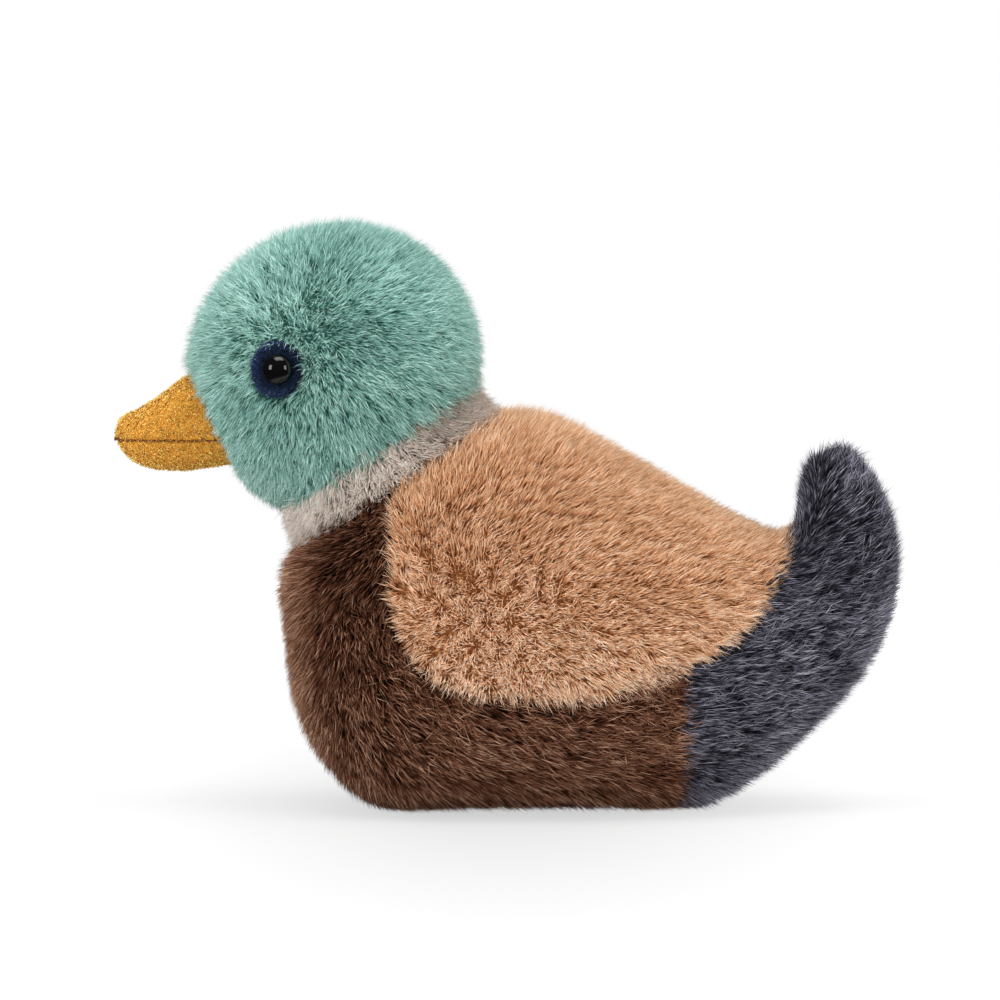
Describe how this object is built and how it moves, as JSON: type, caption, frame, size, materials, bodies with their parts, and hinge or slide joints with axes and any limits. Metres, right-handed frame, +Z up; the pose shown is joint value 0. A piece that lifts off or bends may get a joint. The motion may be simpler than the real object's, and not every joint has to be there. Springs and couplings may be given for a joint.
{
  "type": "plush duck",
  "caption": "small sitting plush duck sewn from coloured plush panels over filling, with a velour beak, felt-backed bead eyes, an upswept tail and a flat weighted base",
  "frame": {"origin": "on the surface it stands on, under the middle of its length and width", "axes": "+Z up, -X the way the beak points, +Y the duck's right side"},
  "size_m": [0.1314, 0.066, 0.0981],
  "materials": {
    "teal_plush": "dense teal plush pile on a knitted backing",
    "oat_plush": "short oatmeal plush pile",
    "brown_plush": "dense dark brown plush pile",
    "caramel_plush": "dense caramel plush pile",
    "slate_plush": "dense slate grey plush pile",
    "mustard_velour": "brushed mustard velour",
    "navy_felt": "navy wool felt with a cut edge",
    "black_plastic": "polished black moulding",
    "white_plastic": "natural moulded plastic",
    "white_filling": "loose polyester fibre",
    "pouch_cotton": "plain woven cotton"
  },
  "bodies": {
    "root": {"head_panel_left": "teal_plush", "head_panel_right": "teal_plush", "neck_band": "oat_plush", "breast_panel_left": "brown_plush", "breast_panel_right": "brown_plush", "base_panel": "brown_plush", "wing_panel_left": "caramel_plush", "wing_panel_right": "caramel_plush", "tail_panel_left": "slate_plush", "tail_panel_right": "slate_plush", "beak_upper": "mustard_velour", "beak_lower": "mustard_velour", "eye_backing_left": "navy_felt", "eye_backing_right": "navy_felt", "eye_left": "black_plastic", "eye_right": "black_plastic", "eye_washer_left": "white_plastic", "eye_washer_right": "white_plastic", "head_stuffing": "white_filling", "body_stuffing": "white_filling", "tail_stuffing": "white_filling", "beak_stuffing": "white_filling", "pellet_pouch_upper": "pouch_cotton", "pellet_pouch_lower": "pouch_cotton", "pellets": "white_plastic"}
  },
  "joints": []
}
